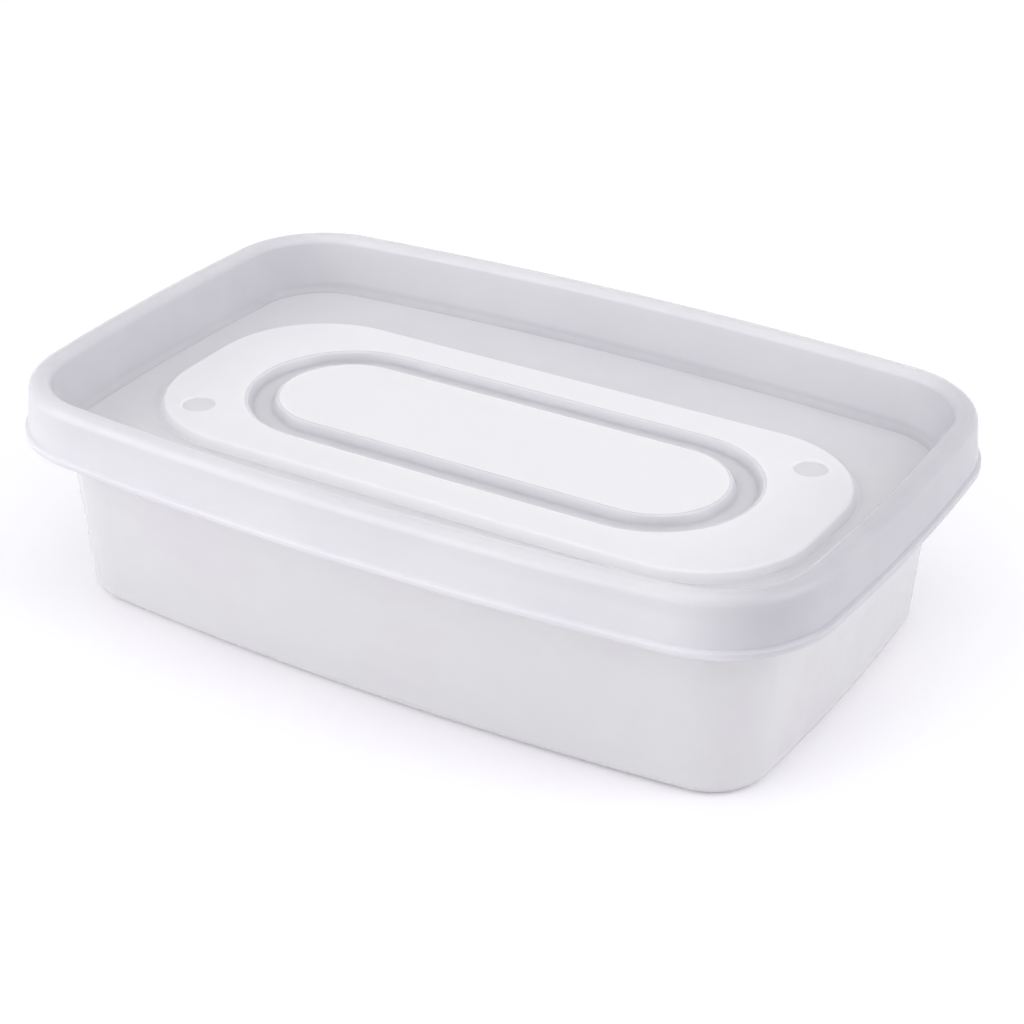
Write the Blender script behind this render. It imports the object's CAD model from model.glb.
# %% [markdown]
# # A milky food container with a press-on lid
#
# The object is a small rectangular food container: a tapered tub and a lid with a deep sunken
# top.  Both are thin polypropylene mouldings of the same wall all over, milky enough to glow
# in soft light.  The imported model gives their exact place.  This script gives them smooth
# meshes with real thickness, and a finish that lets light through.

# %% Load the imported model
import math

import bmesh
import bpy
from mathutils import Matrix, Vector
from mathutils.geometry import intersect_line_line, intersect_sphere_sphere_2d


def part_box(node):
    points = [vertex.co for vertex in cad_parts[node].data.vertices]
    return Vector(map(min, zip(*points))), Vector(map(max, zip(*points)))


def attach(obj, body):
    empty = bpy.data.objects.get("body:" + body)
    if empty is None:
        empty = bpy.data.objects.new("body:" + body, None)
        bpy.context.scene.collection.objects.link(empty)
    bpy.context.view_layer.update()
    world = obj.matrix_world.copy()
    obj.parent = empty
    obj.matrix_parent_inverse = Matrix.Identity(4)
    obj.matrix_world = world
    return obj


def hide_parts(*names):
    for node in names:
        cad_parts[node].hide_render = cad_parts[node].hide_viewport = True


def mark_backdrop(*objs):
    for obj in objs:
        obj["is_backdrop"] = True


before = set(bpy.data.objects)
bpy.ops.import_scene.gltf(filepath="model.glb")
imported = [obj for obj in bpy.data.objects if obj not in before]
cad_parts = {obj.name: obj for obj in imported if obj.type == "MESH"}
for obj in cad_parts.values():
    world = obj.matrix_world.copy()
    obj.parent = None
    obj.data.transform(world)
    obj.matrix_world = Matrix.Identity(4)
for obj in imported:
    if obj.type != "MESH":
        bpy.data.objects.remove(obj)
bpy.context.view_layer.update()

# %% [markdown]
# ## Sizes that the two pieces share
#
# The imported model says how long, wide and high the container is, where the lid's floor lies
# and how high the tub reaches.  The tub's rim sits face to face under the lid's crest, so the
# wall of the lid is the gap between the two heights.  What the boxes can't tell, such as the
# bow of the sides, is named here once.

# %% Shared sizes, in metres
MM = 0.001
lid_low, lid_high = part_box("lid")
HALF_LENGTH, HALF_WIDTH, HEIGHT = lid_high
LID_UNDERSIDE = lid_low.z
RIM_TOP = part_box("tub")[1].z
WALL = HEIGHT - RIM_TOP
LONG_SIDE_RADIUS = 700 * MM
SHORT_SIDE_RADIUS = 500 * MM
CORNER_RADIUS = 24 * MM
TUB_BEAD_HEIGHT = 3 * MM
EDGE_ROUND = 0.25 * MM
print(f"wall {WALL / MM:.2f} mm, lid floor underside at {LID_UNDERSIDE / MM:.2f} mm")

# %% [markdown]
# ## The plan: four bowed sides and four corners
#
# Seen from above, each side is a wide arc and each corner a tight one, all tangent to each
# other.  A wall that follows this plan can be made by turning one section about the centre of
# each arc in turn, because walls further in share the same centres.  That is what the spin
# operator does.  The corner's centre lies where two circles cross, one for each bowed side.

# %% Turns of the plan
CORNER_STEPS = 26
LONG_SIDE_STEPS = 18
SHORT_SIDE_STEPS = 12


def turn(centre, angle, steps):
    """A part of a path that swings round a centre."""
    return {"cent": (centre[0], centre[1], 0), "angle": angle, "dvec": (0, 0, 0), "steps": steps}


def run(along, across):
    """A straight part of a path."""
    return {"cent": (0, 0, 0), "angle": 0, "dvec": (along, across, 0), "steps": 1}


def plan_turns():
    """The container's plan, from the middle of the +X side and back to it."""
    long_middle = Vector((0, HALF_WIDTH - LONG_SIDE_RADIUS))
    short_middle = Vector((HALF_LENGTH - SHORT_SIDE_RADIUS, 0))
    crossings = intersect_sphere_sphere_2d(
        long_middle, LONG_SIDE_RADIUS - CORNER_RADIUS,
        short_middle, SHORT_SIDE_RADIUS - CORNER_RADIUS)
    corner = max(crossings, key=lambda point: point.x + point.y)
    short_angle = math.atan2(corner.y, corner.x - short_middle.x)
    long_angle = math.atan2(corner.x, corner.y - long_middle.y)
    corner_angle = math.pi / 2 - short_angle - long_angle

    def corner_turn(x_sign, y_sign):
        return turn((corner.x * x_sign, corner.y * y_sign), corner_angle, CORNER_STEPS)

    half_side = turn(short_middle, short_angle, SHORT_SIDE_STEPS // 2)
    return [
        half_side,
        corner_turn(1, 1),
        turn(long_middle, 2 * long_angle, LONG_SIDE_STEPS),
        corner_turn(-1, 1),
        turn(-short_middle, 2 * short_angle, SHORT_SIDE_STEPS),
        corner_turn(-1, -1),
        turn(-long_middle, 2 * long_angle, LONG_SIDE_STEPS),
        corner_turn(1, -1),
        half_side,
    ]


PLAN = plan_turns()
print("steps round the plan:", sum(part["steps"] for part in PLAN))

# %% [markdown]
# ## Sections: a chain of edges with rounded corners
#
# A section is the cut through a wall, drawn upright at the +X side.  It is a list of corners,
# each with its distance along X, its height and its round.  The chain is drawn sharp, and the
# bevel operator then rounds one corner at a time.  A bevel is asked for by how far it cuts
# back along the edges, so the round is turned into that length first.

# %% Drawing a section
ROUND_SEGMENTS = 6


def cut_back(before, corner, after, radius):
    """How far back from a corner an arc of that radius meets the two edges."""
    return radius / math.tan((before - corner).angle(after - corner) / 2)


def draw_section(bm, corners, across=0):
    """Draw a chain through the corners (x, z, round) and round them; returns its geometry."""
    points = [Vector((x, across, z)) for x, z, radius in corners]
    known = set(bm.verts)
    verts = [bm.verts.new(point) for point in points]
    for pair in zip(verts, verts[1:]):
        bm.edges.new(pair)
    for index in range(1, len(corners) - 1):
        radius = corners[index][2]
        if radius:
            bmesh.ops.bevel(
                bm, geom=[verts[index]], affect="VERTICES", offset_type="OFFSET",
                offset=cut_back(*points[index - 1:index + 2], radius),
                segments=ROUND_SEGMENTS, profile=0.5, material=-1)
    section = [vert for vert in bm.verts if vert not in known]
    edges = {edge for vert in section for edge in vert.link_edges}
    return section + list(edges)


print("segments in each round:", ROUND_SEGMENTS)

# %% [markdown]
# ## The other face of a wall
#
# A moulded wall is as thick in its bends as in its flats.  So the hidden face isn't drawn: each
# span of the visible face is moved sideways by the wall, and neighbouring spans are cut with
# each other.  On the outside of a bend the round grows by the wall, and on the inside it shrinks
# by as much, so the two arcs share a centre.

# %% A parallel section
def parallel(corners, gap):
    """The other face of a wall: spans move sideways by the gap, and rounds change by as much.

    A positive gap lies on the left of the direction of travel, seen with X to the right and Z
    up.  The ends stay level with the first face's ends, or upright over them.
    """
    points = [Vector((x, 0, z)) for x, z, radius in corners]
    ways = [(after - before).normalized() for before, after in zip(points, points[1:])]
    shifts = [Vector((-way.z, 0, way.x)) * gap for way in ways]
    result = []
    for index, (point, (x, z, radius)) in enumerate(zip(points, corners)):
        if index in (0, len(points) - 1):
            span = min(index, len(ways) - 1)
            moved = point + shifts[span]
            result.append((moved.x, moved.z, 0))
            continue
        before, after = ways[index - 1:index + 1]
        on_before, on_after = point + shifts[index - 1], point + shifts[index]
        crossing = intersect_line_line(
            on_before - before, on_before, on_after, on_after + after)[0]
        bends_left = before.x * after.z - before.z * after.x > 0
        grows = -gap if bends_left else gap
        result.append((crossing.x, crossing.z, max(radius + grows, EDGE_ROUND) if radius else 0))
    return result


print(f"no round of a parallel is under {EDGE_ROUND / MM} mm")

# %% [markdown]
# ## Sweeping a section round a path, and closing flats
#
# The sweep calls the spin operator once for each part of a path; a straight part is a spin
# with no angle and a step sideways.  Its last copy lands on the first one, and the two are
# merged.  What is left open is a set of level loops, which the flat parts of the moulding
# close.  A bridge could join two loops with the same number of steps, but some flats here have
# several holes of different shapes, so each flat is filled with triangles.

# %% Sweeping
MERGE_DISTANCE = 0.004 * MM


def sweep(bm, corners, path, finish=0, across=0):
    """Sweep a section round a closed path, and give the new faces a finish."""
    known = set(bm.faces)
    geometry = draw_section(bm, corners, across)
    for part in path:
        geometry = bmesh.ops.spin(
            bm, geom=geometry, axis=(0, 0, 1), use_merge=False, use_normal_flip=False,
            use_duplicate=False, **part)["geom_last"]
    bmesh.ops.remove_doubles(bm, verts=bm.verts, dist=MERGE_DISTANCE)
    for face in bm.faces:
        if face not in known:
            face.material_index = finish


print(f"copies closer than {MERGE_DISTANCE / MM} mm are merged")

# %% Filling the flats
LEVEL_MATCH = 0.01 * MM


def open_edges(bm, height, wanted=lambda middle: True):
    """Open edges at a height whose middles are wanted."""
    chosen = []
    for edge in bm.edges:
        middle = (edge.verts[0].co + edge.verts[1].co) / 2
        if edge.is_boundary and abs(middle.z - height) < LEVEL_MATCH and wanted(middle):
            chosen.append(edge)
    return chosen


def close_flat(bm, height, wanted=lambda middle: True, finish=0):
    """Fill the flat between the open loops at a height, and give it a finish."""
    filled = bmesh.ops.triangle_fill(
        bm, edges=open_edges(bm, height, wanted), use_beauty=True, use_dissolve=False,
        normal=(0, 0, 1))
    for item in filled["geom"]:
        if isinstance(item, bmesh.types.BMFace):
            item.material_index = finish


print(f"a loop within {LEVEL_MATCH / MM} mm of a height belongs to that flat")

# %% [markdown]
# ## From a closed bmesh to a piece
#
# A finished shell gets outward normals and smooth faces. Smooth shading alone would bend the
# light on the large flats near their rounded edges, so a Weighted Normal modifier lets each
# large face keep its own direction.

# %% Finishing a piece
FLATNESS_WEIGHT = 100


def finish_piece(bm, name, node, materials):
    """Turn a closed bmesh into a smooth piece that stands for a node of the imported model."""
    bmesh.ops.recalc_face_normals(bm, faces=bm.faces)
    open_count = sum(not edge.is_manifold for edge in bm.edges)
    for face in bm.faces:
        face.smooth = True
    mesh = bpy.data.meshes.new(name)
    bm.to_mesh(mesh)
    volume = bm.calc_volume()
    bm.free()
    for material in materials:
        mesh.materials.append(material)
    piece = bpy.data.objects.new(name, mesh)
    bpy.context.scene.collection.objects.link(piece)
    shading = piece.modifiers.new("flat_faces_stay_flat", "WEIGHTED_NORMAL")
    shading.weight = FLATNESS_WEIGHT
    shading.keep_sharp = False
    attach(piece, "root")
    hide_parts(node)
    print(f"{name}: {len(mesh.polygons)} faces, {open_count} open edges, {volume * 1e6:.2f} cm3")
    return piece


print(f"weight of a piece's large faces: {FLATNESS_WEIGHT}, where 50 is neutral")

# %% [markdown]
# ## The finish: plastic that is cloudy inside
#
# Natural polypropylene is milky.  Light goes a few millimetres into it, scatters and comes out
# somewhere else, so a thin wall glows and its shadows are soft.  Subsurface scattering does
# that.  A share of transmission lets some light straight through, as a thin wall does.
#
# A moulding is never one even tone.  It is cloudier here and clearer there, the skin carries a
# fine grain from the mould, and use leaves faint rubbed marks.  All five finishes below share
# those effects, so they are made once, as a node group that puts out a colour, a roughness and
# a height.  Each finish then feeds it its own values.  The helpers come first: each adds one
# kind of node and links it.

# %% Node helpers
def add_node(tree, kind, **settings):
    """Add a node and set its properties."""
    node = tree.nodes.new(kind)
    for name, value in settings.items():
        setattr(node, name, value)
    return node


def scaled_noise(tree, coordinates, scale, detail):
    """A noise between about 0.3 and 0.7; the scale is in features to the metre."""
    noise = add_node(tree, "ShaderNodeTexNoise")
    noise.inputs["Scale"].default_value = scale
    noise.inputs["Detail"].default_value = detail
    tree.links.new(coordinates, noise.inputs["Vector"])
    return noise.outputs["Fac"]


def stretched(tree, value, low, high, new_low=0.0, new_high=1.0):
    """Map a value from one range to another, without going past its ends."""
    ranges = add_node(tree, "ShaderNodeMapRange", interpolation_type="SMOOTHSTEP")
    tree.links.new(value, ranges.inputs["Value"])
    limits = {"From Min": low, "From Max": high, "To Min": new_low, "To Max": new_high}
    for name, number in limits.items():
        ranges.inputs[name].default_value = number
    return ranges.outputs["Result"]


def combined(tree, operation, first, second):
    """One of the math operations on two sockets or numbers."""
    maths = add_node(tree, "ShaderNodeMath", operation=operation)
    for socket, value in zip(maths.inputs, (first, second)):
        if isinstance(value, (int, float)):
            socket.default_value = value
        else:
            tree.links.new(value, socket)
    return maths.outputs[0]


# A Mix node has its own sockets for each kind of value: two inputs and an output.
MIX_SOCKETS = {"RGBA": (6, 7, 2), "FLOAT": (2, 3, 0)}


def mixed(tree, kind, factor, first, second):
    """A mix of two colours or numbers; kind is RGBA or FLOAT."""
    mix = add_node(tree, "ShaderNodeMix", data_type=kind)
    first_input, second_input, output = MIX_SOCKETS[kind]
    tree.links.new(factor, mix.inputs[0])
    tree.links.new(first, mix.inputs[first_input])
    tree.links.new(second, mix.inputs[second_input])
    return mix.outputs[output]


HELPERS = (add_node, scaled_noise, stretched, combined, mixed)
print("node helpers:", ", ".join(helper.__name__ for helper in HELPERS))

# %% The cloudy plastic group
CLOUDS_PER_METRE = 34
CLOUD_EDGES = (0.36, 0.66)
CLOUD_SHARE = 0.65
FLOW_MARKS_PER_METRE = 60
FLOW_STRETCH = (0.35, 1.6, 1.0)
FLOW_EDGES = (0.4, 0.65)
RUBS_PER_METRE = 140
RUB_EDGES = (0.4, 0.75)
WEAR_CLOUDS = (0.2, 0.9)
WEAR_SHARES = (0.25, 1.0)
GRAIN_PER_METRE = 2600
WAVES_PER_METRE = 45


def make_cloudy_group():
    """Colour, roughness and height of a cloudy moulding."""
    group = bpy.data.node_groups.new("cloudy_plastic", "ShaderNodeTree")
    for name, kind in (
            ("Clear Colour", "NodeSocketColor"), ("Dense Colour", "NodeSocketColor"),
            ("Density", "NodeSocketFloat"), ("Cloudiness", "NodeSocketFloat"),
            ("Smooth Roughness", "NodeSocketFloat"), ("Rubbed Roughness", "NodeSocketFloat"),
            ("Grain", "NodeSocketFloat")):
        group.interface.new_socket(name, in_out="INPUT", socket_type=kind)
    for name, kind in (
            ("Colour", "NodeSocketColor"), ("Roughness", "NodeSocketFloat"),
            ("Height", "NodeSocketFloat")):
        group.interface.new_socket(name, in_out="OUTPUT", socket_type=kind)
    given = add_node(group, "NodeGroupInput").outputs
    result = add_node(group, "NodeGroupOutput").inputs
    place = add_node(group, "ShaderNodeTexCoord").outputs["Object"]

    flow = add_node(group, "ShaderNodeMapping")
    flow.inputs["Scale"].default_value = FLOW_STRETCH
    group.links.new(place, flow.inputs["Vector"])
    cloud_noise = scaled_noise(group, place, CLOUDS_PER_METRE, detail=3)
    clouds = stretched(group, cloud_noise, *CLOUD_EDGES)
    flow_noise = scaled_noise(group, flow.outputs[0], FLOW_MARKS_PER_METRE, detail=4)
    marks = stretched(group, flow_noise, *FLOW_EDGES)
    weighted = combined(group, "MULTIPLY", clouds, CLOUD_SHARE)
    both = combined(group, "ADD", weighted, combined(group, "MULTIPLY", marks, 1 - CLOUD_SHARE))
    veil = combined(group, "MULTIPLY", both, given["Cloudiness"])
    density = add_node(group, "ShaderNodeClamp")
    group.links.new(combined(group, "ADD", veil, given["Density"]), density.inputs["Value"])
    colour = mixed(
        group, "RGBA", density.outputs[0], given["Clear Colour"], given["Dense Colour"])
    group.links.new(colour, result["Colour"])

    rub_noise = scaled_noise(group, flow.outputs[0], RUBS_PER_METRE, detail=1)
    rubs = stretched(group, rub_noise, *RUB_EDGES)
    worn = combined(group, "MULTIPLY", rubs, stretched(group, clouds, *WEAR_CLOUDS, *WEAR_SHARES))
    roughness = mixed(group, "FLOAT", worn, given["Smooth Roughness"], given["Rubbed Roughness"])
    group.links.new(roughness, result["Roughness"])

    grain_noise = scaled_noise(group, place, GRAIN_PER_METRE, detail=2)
    grain = combined(group, "MULTIPLY", grain_noise, given["Grain"])
    waves = scaled_noise(group, place, WAVES_PER_METRE, detail=1)
    group.links.new(combined(group, "ADD", grain, waves), result["Height"])
    return group


CLOUDY_PLASTIC = make_cloudy_group()
print("cloudy plastic group:", len(CLOUDY_PLASTIC.nodes), "nodes")

# %% [markdown]
# ## Five finishes from one recipe
#
# The tub is the clearest.  The lid's rim is a little denser, and more so in the thick bead
# along its hem and at its two short ends, which lie furthest from where the plastic was
# injected.  A mould seldom fills evenly, so one end is denser than the other.  The raised panel
# is textured in the mould, so it is whiter and more matt.  The sunken margin round it is
# polished, and the dark inside shows through it.  So it does in the panel's channel, where the
# wall is drawn thinnest.
#
# The masks for "near the ends" and "in the hem" read Object coordinates.  Each piece sits at
# the origin, so those are real places on the container, in metres.

# %% Milky plastic
PLASTIC_IOR = 1.49
RUB_DULLS_BY = 0.05
GLOW_WEIGHT = 1.0
GLOW_RADIUS = (1, 1, 1)
RELIEF_STRENGTH = 0.35
RELIEF_DEPTH = 0.06 * MM


def along_axis(tree, axis):
    """Where a point of the surface lies along an axis of the container."""
    place = add_node(tree, "ShaderNodeTexCoord").outputs["Object"]
    parts = add_node(tree, "ShaderNodeSeparateXYZ")
    tree.links.new(place, parts.inputs[0])
    return parts.outputs[axis]


def milky_plastic(
        name, clear, dense, cloudiness, roughness, see_through, glow_depth, grain, denser=()):
    """A milky finish; denser lists (axis, where it starts, where it is full, how much)."""
    material = bpy.data.materials.new(name)
    material.use_nodes = True
    tree = material.node_tree
    shader = tree.nodes["Principled BSDF"]
    shader.inputs["IOR"].default_value = PLASTIC_IOR
    shader.inputs["Transmission Weight"].default_value = see_through
    shader.inputs["Subsurface Weight"].default_value = GLOW_WEIGHT
    shader.inputs["Subsurface Radius"].default_value = GLOW_RADIUS
    shader.inputs["Subsurface Scale"].default_value = glow_depth

    cloudy = add_node(tree, "ShaderNodeGroup", node_tree=CLOUDY_PLASTIC)
    cloudy.inputs["Clear Colour"].default_value = (*clear, 1)
    cloudy.inputs["Dense Colour"].default_value = (*dense, 1)
    cloudy.inputs["Cloudiness"].default_value = cloudiness
    cloudy.inputs["Smooth Roughness"].default_value = roughness
    cloudy.inputs["Rubbed Roughness"].default_value = roughness + RUB_DULLS_BY
    cloudy.inputs["Grain"].default_value = grain
    total = None
    for axis, start, full, amount in denser:
        mask = stretched(tree, along_axis(tree, axis), start, full, 0.0, amount)
        total = mask if total is None else combined(tree, "MAXIMUM", total, mask)
    if total is not None:
        tree.links.new(total, cloudy.inputs["Density"])

    relief = add_node(tree, "ShaderNodeBump")
    relief.inputs["Strength"].default_value = RELIEF_STRENGTH
    relief.inputs["Distance"].default_value = RELIEF_DEPTH
    tree.links.new(cloudy.outputs["Colour"], shader.inputs["Base Color"])
    tree.links.new(cloudy.outputs["Roughness"], shader.inputs["Roughness"])
    tree.links.new(cloudy.outputs["Height"], relief.inputs["Height"])
    tree.links.new(relief.outputs["Normal"], shader.inputs["Normal"])
    print(f"{name}: clear {clear}, dense {dense}, see-through {see_through}")
    return material


print(f"the relief of the skin is {RELIEF_DEPTH / MM:.2f} mm deep")

# %% The five finishes
SKIRT_HEIGHT = 11.5 * MM
HEM_BOTTOM = HEIGHT - SKIRT_HEIGHT
HEM_HEIGHT = 1.8 * MM
RIM_END_STARTS = 66 * MM
RIM_END_IS_FULL = 86 * MM
PANEL_END_STARTS = 46 * MM
PANEL_END_IS_FULL = 70 * MM
LENGTHWISE, UPRIGHT = 0, 2
TUB_PLASTIC = milky_plastic(
    "tub_plastic", clear=(0.99, 0.97, 1.0), dense=(0.85, 0.83, 0.95), cloudiness=0.6,
    roughness=0.17, see_through=0.22, glow_depth=1.5 * MM, grain=0.1)
LID_RIM = milky_plastic(
    "lid_rim", clear=(0.875, 0.87, 0.90), dense=(0.62, 0.615, 0.65), cloudiness=0.2,
    roughness=0.22, see_through=0.15, glow_depth=2 * MM, grain=0.1,
    denser=[(LENGTHWISE, RIM_END_STARTS, RIM_END_IS_FULL, 0.9),
            (LENGTHWISE, -RIM_END_STARTS, -RIM_END_IS_FULL, 0.4),
            (UPRIGHT, HEM_BOTTOM + HEM_HEIGHT, HEM_BOTTOM, 0.45)])
LID_PANEL = milky_plastic(
    "lid_panel", clear=(0.965, 0.965, 0.968), dense=(0.85, 0.85, 0.865), cloudiness=0.3,
    roughness=0.42, see_through=0.0, glow_depth=2 * MM, grain=0.6,
    denser=[(LENGTHWISE, PANEL_END_STARTS, PANEL_END_IS_FULL, 0.9),
            (LENGTHWISE, -PANEL_END_STARTS, -PANEL_END_IS_FULL, 0.9)])
LID_FLOOR = milky_plastic(
    "lid_floor", clear=(0.85, 0.845, 0.88), dense=(0.78, 0.775, 0.82), cloudiness=0.5,
    roughness=0.22, see_through=0.0, glow_depth=4 * MM, grain=0.1)
LID_CHANNEL = milky_plastic(
    "lid_channel", clear=(0.71, 0.705, 0.74), dense=(0.63, 0.625, 0.66), cloudiness=0.5,
    roughness=0.22, see_through=0.0, glow_depth=4 * MM, grain=0.1)
print(f"the hem's bead ends at {HEM_BOTTOM / MM:.1f} mm")

# %% [markdown]
# ## The lid's rim
#
# The rim is an upside-down channel that grips the tub.  Its inner leg goes down to the lid's
# floor, its crest covers the tub's rim, and its skirt hangs outside.  The hem has a bead for
# the fingers, and inside the skirt runs a small ridge that snaps under the tub's rim.  One
# section holds all of this, with the other face of the wall worked out as a parallel, so the
# wall is even where a mould would make it even.

# %% The rim's section
SKIRT_TOP = 1.5 * MM
SKIRT_HEM = 0.5 * MM
CREST_INNER = 5.9 * MM
CREST_OUTER_ROUND = 2.2 * MM
CREST_INNER_ROUND = 1.8 * MM
PLUG_FOOT = 7.3 * MM
PLUG_FOOT_ROUND = 1.5 * MM
FLOOR_STRIP = 1.6 * MM
FLOOR_EDGE = PLUG_FOOT + FLOOR_STRIP
FLOOR_TOP = LID_UNDERSIDE + WALL
HEM_BEAD = 0.5 * MM
SNAP_CLEARANCE = 0.3 * MM
SNAP_TOP = RIM_TOP - TUB_BEAD_HEIGHT - SNAP_CLEARANCE
SNAP_HEIGHT = 1.8 * MM
SNAP_TIP = 3.2 * MM


def inset(distance):
    """The X of a place that lies in from the outermost edge by a distance."""
    return HALF_LENGTH - distance


def lid_rim_section():
    """From the floor up the plug wall, over the crest, down the skirt and back underneath."""
    face = [
        (inset(FLOOR_EDGE), FLOOR_TOP, 0),
        (inset(PLUG_FOOT), FLOOR_TOP, PLUG_FOOT_ROUND),
        (inset(CREST_INNER), HEIGHT, CREST_INNER_ROUND),
        (inset(SKIRT_TOP), HEIGHT, CREST_OUTER_ROUND),
        (inset(SKIRT_HEM), HEM_BOTTOM, 0),
    ]
    hidden = parallel(face, -WALL)
    skirt_lean = (SKIRT_TOP - SKIRT_HEM) / SKIRT_HEIGHT

    def skirt_inside(height):
        return hidden[-1][0] - (height - HEM_BOTTOM) * skirt_lean

    bead_top = HEM_BOTTOM + HEM_HEIGHT
    outside = [
        (inset(SKIRT_HEM + HEM_HEIGHT * skirt_lean), bead_top, EDGE_ROUND),
        (inset(0), bead_top - HEM_BEAD, EDGE_ROUND),
        (inset(0), HEM_BOTTOM, EDGE_ROUND),
    ]
    inside = [
        (skirt_inside(HEM_BOTTOM), HEM_BOTTOM, EDGE_ROUND),
        (skirt_inside(SNAP_TOP - SNAP_HEIGHT), SNAP_TOP - SNAP_HEIGHT, EDGE_ROUND),
        (inset(SNAP_TIP), SNAP_TOP - SNAP_HEIGHT / 2, EDGE_ROUND / 2),
        (inset(SNAP_TIP), SNAP_TOP - SNAP_HEIGHT / 4, EDGE_ROUND / 2),
        (skirt_inside(SNAP_TOP), SNAP_TOP, EDGE_ROUND / 2),
    ]
    return face[:-1] + outside + inside + hidden[-2::-1]


print("corners in the rim's section:", len(lid_rim_section()))

# %% [markdown]
# ## The lid's panel, channel and dimples
#
# The lid's floor rises in the middle to a panel, which stiffens it and keeps a stacked tub in
# place.  A shallow channel runs round in the panel.  Two of its opposite corners have a round
# dimple each, so the lid looks the same after half a turn.  The panel's edge and the channel
# bend the whole wall, so each needs an upper and a lower face.  The dimples are only sunk into
# the top.  Each form is a short section swept round its own path: rounded rectangle, long ring,
# or circle.

# %% The panel's paths
PANEL_HALF_LENGTH = 72.5 * MM
PANEL_HALF_WIDTH = 30.5 * MM
PANEL_CORNER = 24 * MM
PANEL_STEPS = 20
RING_REACH = 36 * MM
RING_RADIUS = 18 * MM
RING_STEPS = 24
DIMPLE_X = 60 * MM
DIMPLE_Y = 19.5 * MM
DIMPLE_STEPS = 32


def panel_path():
    """Round the panel's edge, from the middle of its +X side."""
    x = PANEL_HALF_LENGTH - PANEL_CORNER
    y = PANEL_HALF_WIDTH - PANEL_CORNER
    quarter = math.pi / 2
    return [
        run(0, y), turn((x, y), quarter, PANEL_STEPS),
        run(-2 * x, 0), turn((-x, y), quarter, PANEL_STEPS),
        run(0, -2 * y), turn((-x, -y), quarter, PANEL_STEPS),
        run(2 * x, 0), turn((x, -y), quarter, PANEL_STEPS),
        run(0, y),
    ]


def ring_path():
    """Round the channel ring, from the middle of its +X end."""
    quarter = math.pi / 2
    return [
        turn((RING_REACH, 0), quarter, RING_STEPS // 2), run(-2 * RING_REACH, 0),
        turn((-RING_REACH, 0), 2 * quarter, RING_STEPS), run(2 * RING_REACH, 0),
        turn((RING_REACH, 0), quarter, RING_STEPS // 2),
    ]


def dimple_path(side):
    """Round one dimple."""
    return [turn((side * DIMPLE_X, side * DIMPLE_Y), 2 * math.pi, DIMPLE_STEPS)]


print("parts of the paths:", len(panel_path()), len(ring_path()), len(dimple_path(1)))

# %% The panel's sections
PANEL_RISE = 1.8 * MM
PANEL_TOP = FLOOR_TOP + PANEL_RISE
PANEL_SLOPE = math.radians(35)
PANEL_ROUND = 0.9 * MM
FLAT_MARGIN = 2 * MM
CHANNEL_HALF_WIDTH = 3 * MM
CHANNEL_DEPTH = 1.8 * MM
CHANNEL_SLOPE = math.radians(30)
CHANNEL_ROUND = 0.6 * MM
DIMPLE_RADIUS = 3.5 * MM
DIMPLE_DEPTH = 0.5 * MM
DIMPLE_BOTTOM = PANEL_TOP - DIMPLE_DEPTH


def panel_section():
    """The panel's edge, from the floor up to its flat."""
    foot = PANEL_HALF_LENGTH + PANEL_RISE * math.tan(PANEL_SLOPE)
    return [
        (foot + EDGE_ROUND, FLOOR_TOP, 0),
        (foot, FLOOR_TOP, EDGE_ROUND),
        (PANEL_HALF_LENGTH, PANEL_TOP, PANEL_ROUND),
        (PANEL_HALF_LENGTH - FLAT_MARGIN, PANEL_TOP, 0),
    ]


def channel_section():
    """The channel, from the flat outside it to the flat inside it."""
    middle = RING_REACH + RING_RADIUS
    foot = CHANNEL_HALF_WIDTH - CHANNEL_DEPTH * math.tan(CHANNEL_SLOPE)
    bottom = PANEL_TOP - CHANNEL_DEPTH
    mouth = CHANNEL_HALF_WIDTH
    lip = mouth + CHANNEL_ROUND
    return [
        (middle + lip, PANEL_TOP, 0),
        (middle + mouth, PANEL_TOP, CHANNEL_ROUND),
        (middle + foot, bottom, CHANNEL_ROUND),
        (middle - foot, bottom, CHANNEL_ROUND),
        (middle - mouth, PANEL_TOP, CHANNEL_ROUND),
        (middle - lip, PANEL_TOP, 0),
    ]


def dimple_section(side):
    """One dimple, from the panel's flat down to its own."""
    edge = side * DIMPLE_X + DIMPLE_RADIUS
    return [
        (edge + EDGE_ROUND, PANEL_TOP, 0),
        (edge, PANEL_TOP, EDGE_ROUND),
        (edge, DIMPLE_BOTTOM, EDGE_ROUND),
        (edge - EDGE_ROUND, DIMPLE_BOTTOM, 0),
    ]


print(f"panel top at {PANEL_TOP / MM:.2f} mm, dimples {DIMPLE_DEPTH / MM:.1f} mm deep")

# %% [markdown]
# ## Closing the lid
#
# After the sweeps, only level loops are open: two on each side of the floor margin, and those
# of the panel's edge, the channel and the dimples.  Loops at the same height that bound the
# same flat are filled together, so the fill leaves the holes between them open.  The panel's
# own flat has two parts, outside and inside the channel, and a simple test keeps them apart.

# %% Make the lid
LID_FINISHES = [LID_RIM, LID_PANEL, LID_FLOOR, LID_CHANNEL]
RIM_FINISH, PANEL_FINISH, FLOOR_FINISH, CHANNEL_FINISH = range(4)


def from_ring(middle):
    """How far a place lies outside the channel ring's middle line; inside it is negative."""
    beyond = max(abs(middle.x) - RING_REACH, 0)
    return math.hypot(beyond, middle.y) - RING_RADIUS


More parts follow.
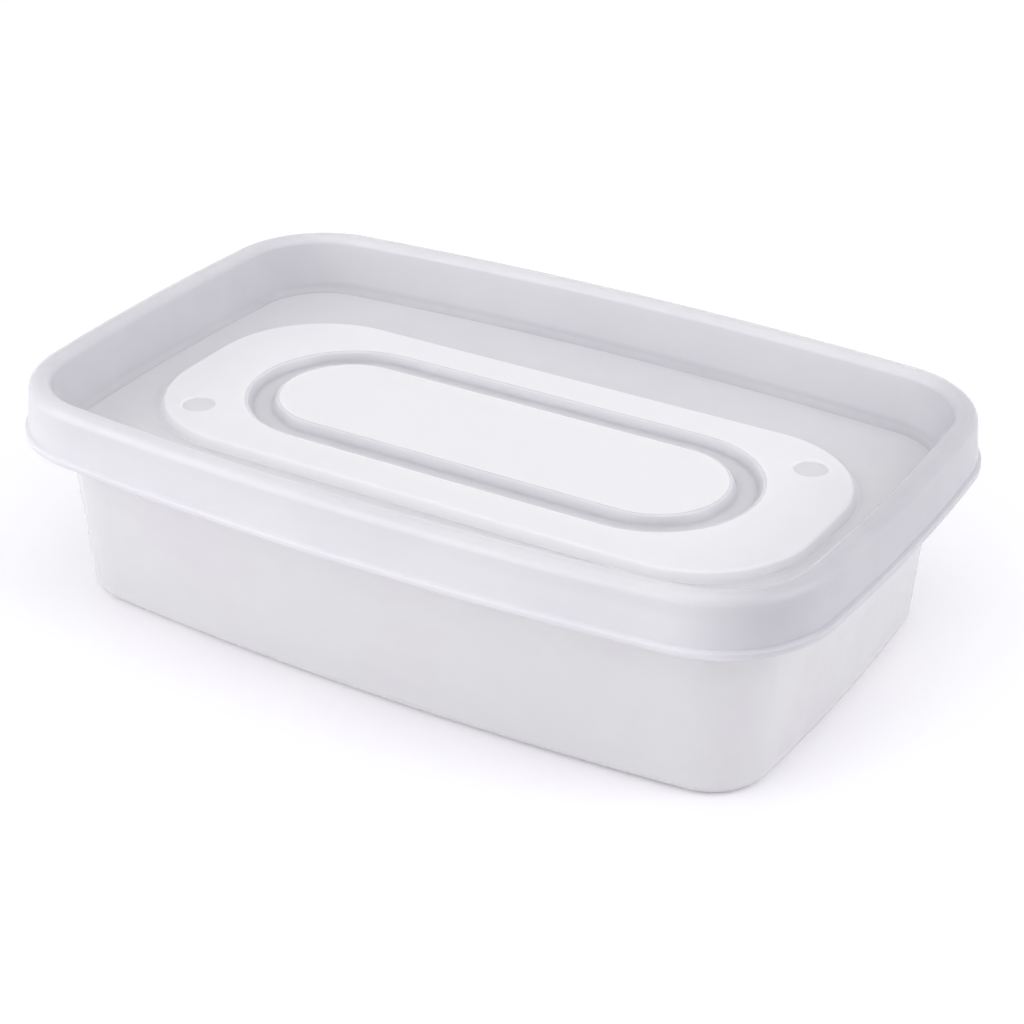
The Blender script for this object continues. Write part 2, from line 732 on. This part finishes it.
def make_lid():
    """Build the lid as one closed shell."""
    bm = bmesh.new()
    sweep(bm, lid_rim_section(), PLAN, RIM_FINISH)
    for section in (panel_section(), parallel(panel_section(), WALL)):
        sweep(bm, section, panel_path(), PANEL_FINISH)
    for section in (channel_section(), parallel(channel_section(), WALL)):
        sweep(bm, section, ring_path(), CHANNEL_FINISH)
    for side in (1, -1):
        sweep(bm, dimple_section(side), dimple_path(side), PANEL_FINISH, across=side * DIMPLE_Y)
        close_flat(bm, DIMPLE_BOTTOM, finish=PANEL_FINISH)
    for level in (FLOOR_TOP, LID_UNDERSIDE):
        close_flat(bm, level, finish=FLOOR_FINISH)
    for level in (PANEL_TOP, PANEL_TOP - WALL):
        close_flat(bm, level, lambda middle: from_ring(middle) > 0, PANEL_FINISH)
        close_flat(bm, level, lambda middle: from_ring(middle) < 0, PANEL_FINISH)
    return finish_piece(bm, "lid_shell", "lid", LID_FINISHES)


lid_shell = make_lid()
print("finishes on the lid:", [material.name for material in lid_shell.data.materials])

# %% [markdown]
# ## The tub
#
# The tub stands on a narrow ring foot under a slightly lifted base.  Its wall leans outwards
# so that it leaves the mould, steps out in a soft shoulder just under the lid, and ends in a
# collar with a bead that the lid's ridge snaps under.  It is one section swept round the plan,
# down to the base, and the base is closed by two flats.

# %% Make the tub
BEAD_OUTER = 2.8 * MM
BEAD_OUTER_ROUND = 0.9 * MM
BEAD_INNER_ROUND = 0.5 * MM
BEAD_BOTTOM = RIM_TOP - TUB_BEAD_HEIGHT
COLLAR_OUTER = 3.6 * MM
COLLAR_INNER = COLLAR_OUTER + WALL
SHOULDER_DROP = 2.9 * MM
SHOULDER_RISE = 3.5 * MM
SHOULDER_FOOT = LID_UNDERSIDE - SHOULDER_DROP
SHOULDER_TOP = SHOULDER_FOOT + SHOULDER_RISE
SHOULDER_INSET = 8.9 * MM
SHOULDER_ROUND = 3 * MM
SHOULDER_HOLLOW = 2 * MM
FOOT_INSET = 11.5 * MM
FOOT_ROUND = 3 * MM
FOOT_RING = 17 * MM
FOOT_LIFT = 0.8 * MM
BASE_EDGE = 19.3 * MM


def tub_section():
    """From the base out to the foot, up the wall to the rim, and back down inside."""
    face = [
        (inset(BASE_EDGE), FOOT_LIFT, 0),
        (inset(FOOT_RING + FOOT_LIFT), FOOT_LIFT, EDGE_ROUND),
        (inset(FOOT_RING), 0, EDGE_ROUND),
        (inset(FOOT_INSET), 0, FOOT_ROUND),
        (inset(SHOULDER_INSET), SHOULDER_FOOT, SHOULDER_HOLLOW),
        (inset(COLLAR_OUTER), SHOULDER_TOP, SHOULDER_ROUND),
        (inset(COLLAR_OUTER), BEAD_BOTTOM, 0),
    ]
    bead = [
        (inset(COLLAR_OUTER), BEAD_BOTTOM, EDGE_ROUND),
        (inset(BEAD_OUTER), BEAD_BOTTOM, EDGE_ROUND),
        (inset(BEAD_OUTER), RIM_TOP, BEAD_OUTER_ROUND),
        (inset(COLLAR_INNER), RIM_TOP, BEAD_INNER_ROUND),
    ]
    return face[:-1] + bead + parallel(face, WALL)[-2::-1]


def make_tub():
    """Build the tub as one closed shell."""
    bm = bmesh.new()
    sweep(bm, tub_section(), PLAN)
    for level in (FOOT_LIFT, FOOT_LIFT + WALL):
        close_flat(bm, level)
    return finish_piece(bm, "tub_shell", "tub", [TUB_PLASTIC])


tub_shell = make_tub()
print("finish on the tub:", tub_shell.data.materials[0].name)

# %% [markdown]
# ## The table top and the backdrop
#
# Pale plastic is shown on white.  The table is plain and pale.  For rays that come straight
# from the camera, or by way of a reflection or the see-through walls, it also adds a little
# white.  Near the container it adds least, so the real shadow stays.  Far out, where the lamps
# don't reach, it adds most, so no grey edge shows behind.  The world does the same: it is pure
# white to those rays, and lights everything softly otherwise.

# %% Rays that show the background
def seen_directly(tree):
    """A mask of the rays that show the background: the camera's, mirrored and passed through."""
    light_path = add_node(tree, "ShaderNodeLightPath")
    first = combined(
        tree, "MAXIMUM", light_path.outputs["Is Camera Ray"], light_path.outputs["Is Glossy Ray"])
    return combined(tree, "MAXIMUM", first, light_path.outputs["Is Transmission Ray"])


print("white is added for the rays of the camera, of gloss and of transmission")

# %% Floor
FLOOR_HALF = 3.0
FLOOR_COLOUR = (0.9, 0.9, 0.9)
FLOOR_ROUGHNESS = 0.9
LIFT_STARTS = 60 * MM
LIFT_IS_FULL = 200 * MM
LIFT_NEAR = 0.11
LIFT_ROUND = 0.18
FADE_STARTS = 400 * MM
FADE_IS_FULL = 1300 * MM
FADE_FAR = 0.25


def make_floor():
    """A wide pale table top under the container."""
    bm = bmesh.new()
    bmesh.ops.create_grid(bm, x_segments=1, y_segments=1, size=FLOOR_HALF)
    mesh = bpy.data.meshes.new("table_top")
    bm.to_mesh(mesh)
    bm.free()
    floor = bpy.data.objects.new("table_top", mesh)
    bpy.context.scene.collection.objects.link(floor)
    material = bpy.data.materials.new("white_table")
    material.use_nodes = True
    tree = material.node_tree
    shader = tree.nodes["Principled BSDF"]
    shader.inputs["Base Color"].default_value = (*FLOOR_COLOUR, 1)
    shader.inputs["Roughness"].default_value = FLOOR_ROUGHNESS
    glow = add_node(tree, "ShaderNodeEmission")
    both = add_node(tree, "ShaderNodeAddShader")
    reach = add_node(tree, "ShaderNodeVectorMath", operation="LENGTH")
    tree.links.new(add_node(tree, "ShaderNodeTexCoord").outputs["Object"], reach.inputs[0])
    distance = reach.outputs["Value"]
    lift = stretched(tree, distance, LIFT_STARTS, LIFT_IS_FULL, LIFT_NEAR, LIFT_ROUND)
    fade = stretched(tree, distance, FADE_STARTS, FADE_IS_FULL, 0.0, FADE_FAR)
    strength = combined(tree, "MULTIPLY", seen_directly(tree), combined(tree, "ADD", lift, fade))
    tree.links.new(strength, glow.inputs["Strength"])
    tree.links.new(shader.outputs[0], both.inputs[0])
    tree.links.new(glow.outputs[0], both.inputs[1])
    tree.links.new(both.outputs[0], tree.nodes["Material Output"].inputs["Surface"])
    mesh.materials.append(material)
    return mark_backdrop(floor)


make_floor()
print(f"table top {2 * FLOOR_HALF:.0f} m wide")

# %% [markdown]
# ## Soft light
#
# A milky body needs light from all round, or its far walls turn grey.  The world gives most of
# it, with a trace of cool tint.  A large soft box overhead brightens the panel, a near one at
# the front left models the long wall and the hem, and a weak one on the right reaches down to
# the lid's floor and keeps the short wall alive.

# %% World
LIGHT_TINT = (0.975, 0.965, 1.0)
WORLD_STRENGTH = 0.7


def make_world():
    """Soft light from all round, and pure white where the world itself is seen."""
    world = bpy.data.worlds.new("studio")
    bpy.context.scene.world = world
    world.use_nodes = True
    tree = world.node_tree
    backdrop = tree.nodes["Background"]
    backdrop.inputs["Color"].default_value = (1, 1, 1, 1)
    backdrop.inputs["Strength"].default_value = 1.0
    studio = add_node(tree, "ShaderNodeBackground")
    studio.inputs["Color"].default_value = (*LIGHT_TINT, 1)
    studio.inputs["Strength"].default_value = WORLD_STRENGTH
    either = add_node(tree, "ShaderNodeMixShader")
    tree.links.new(seen_directly(tree), either.inputs[0])
    tree.links.new(studio.outputs[0], either.inputs[1])
    tree.links.new(backdrop.outputs[0], either.inputs[2])
    tree.links.new(either.outputs[0], tree.nodes["World Output"].inputs["Surface"])


make_world()
print(f"world light at {WORLD_STRENGTH}, tinted {LIGHT_TINT}")

# %% Soft boxes
def soft_box(name, place, size, power):
    """A large square lamp that faces the container."""
    lamp = bpy.data.lights.new(name, "AREA")
    lamp.size = size
    lamp.energy = power
    lamp.color = LIGHT_TINT
    holder = bpy.data.objects.new(name, lamp)
    bpy.context.scene.collection.objects.link(holder)
    holder.location = place
    aim = Vector((0, 0, HEIGHT / 2))
    holder.rotation_euler = (aim - Vector(place)).to_track_quat("-Z", "Y").to_euler()
    print(f"{name}: {power} W, {size} m wide")


soft_box("overhead", place=(0.1, -0.1, 1.1), size=0.9, power=1.9)
soft_box("front_left", place=(-0.42, -0.55, 0.2), size=0.8, power=3.0)
soft_box("right", place=(0.7, 0.1, 0.5), size=0.6, power=2.0)

# %% [markdown]
# ## The camera
#
# The camera looks down on a corner of the container from a little to the right, near enough to
# show perspective.  It is placed by two angles and a distance from its aim, which is easier to
# read and to change than three coordinates.

# %% Camera
CAMERA_AZIMUTH = math.radians(31.2)
CAMERA_ELEVATION = math.radians(28.6)
CAMERA_DISTANCE = 498.9 * MM
CAMERA_AIM = Vector((6.5 * MM, -5.0 * MM, HEIGHT / 2))
CAMERA_LENS_MM = 87.5
CAMERA_SENSOR_MM = 36


def make_camera():
    """A camera at its angles and distance from its aim."""
    away = Vector((
        math.sin(CAMERA_AZIMUTH) * math.cos(CAMERA_ELEVATION),
        -math.cos(CAMERA_AZIMUTH) * math.cos(CAMERA_ELEVATION),
        math.sin(CAMERA_ELEVATION)))
    data = bpy.data.cameras.new("camera")
    data.lens = CAMERA_LENS_MM
    data.sensor_width = CAMERA_SENSOR_MM
    camera = bpy.data.objects.new("camera", data)
    bpy.context.scene.collection.objects.link(camera)
    camera.location = CAMERA_AIM + away * CAMERA_DISTANCE
    camera.rotation_euler = away.to_track_quat("Z", "Y").to_euler()
    bpy.context.scene.camera = camera
    return camera


camera = make_camera()
print("camera at", [round(value, 3) for value in camera.location])

# %% [markdown]
# ## Colour, size and the last line
#
# The Standard view transform shows colours as they are written, which suits a pale product.
# The two boxes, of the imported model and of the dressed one, are kept side by side, because the
# finish must never change the object's size.

# %% View transform and sizes
bpy.context.scene.view_settings.view_transform = "Standard"
